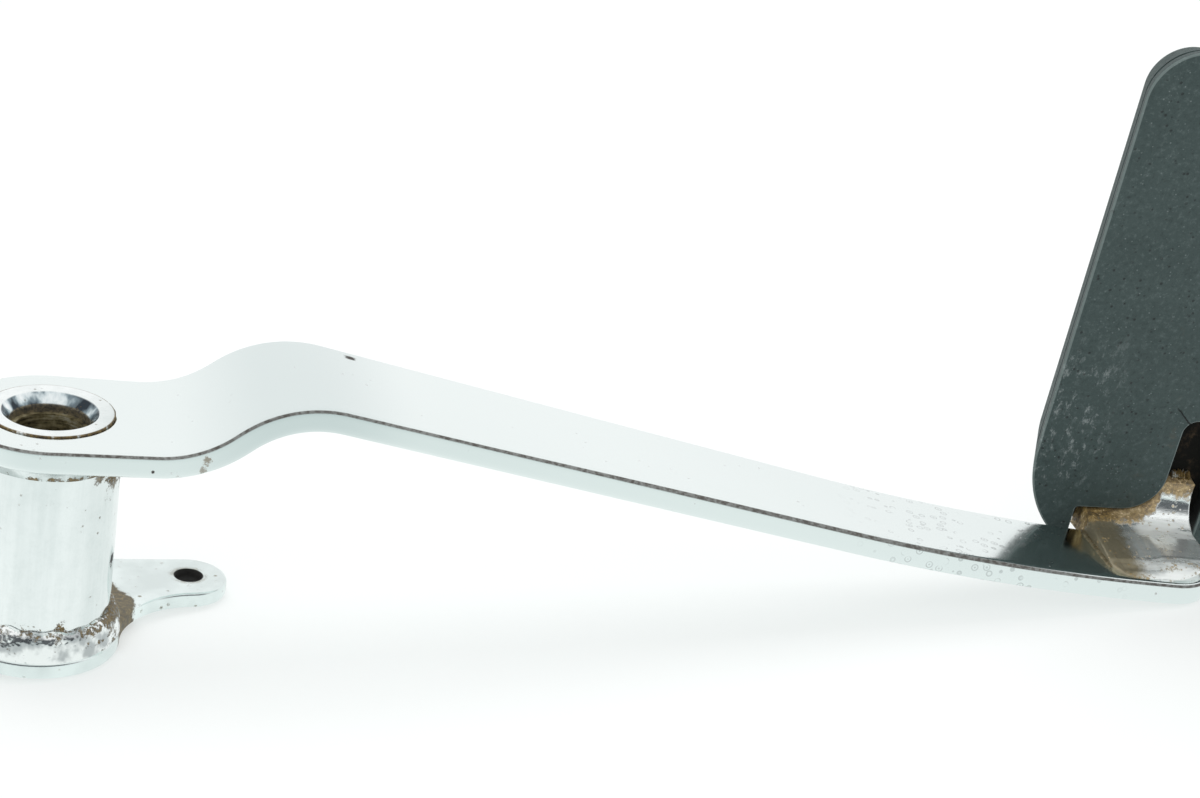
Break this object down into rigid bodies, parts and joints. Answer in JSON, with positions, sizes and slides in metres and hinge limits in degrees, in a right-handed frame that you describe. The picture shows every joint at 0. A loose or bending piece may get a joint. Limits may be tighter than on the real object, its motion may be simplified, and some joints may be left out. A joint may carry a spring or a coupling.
{
  "type": "brake pedal",
  "caption": "Chromed foot lever for a motorbike brake: joggled flat-bar arm on a pivot tube, with a rod lever below and a large ribbed rubber pad.",
  "frame": {"origin": "middle of the pivot bore, on its axis", "axes": "+Z along the pivot axis towards the arm, +X along the arm towards the pad, +Y towards the pad's tread side"},
  "size_m": [0.3329, 0.0564, 0.1597],
  "materials": {
    "chrome": "polished",
    "bronze": "satin",
    "weld": "satin",
    "black_steel": "satin",
    "rubber": "matte"
  },
  "bodies": {
    "root": {"arm": "chrome", "pivot_tube": "chrome", "upper_bush": "bronze", "lower_bush": "bronze", "rod_lever": "chrome", "arm_weld_ring": "weld", "lever_weld_ring": "weld", "neck": "chrome", "neck_weld_left": "weld", "neck_weld_right": "weld", "neck_weld_top": "weld", "footplate": "black_steel", "pad_rubber": "rubber"}
  },
  "joints": []
}
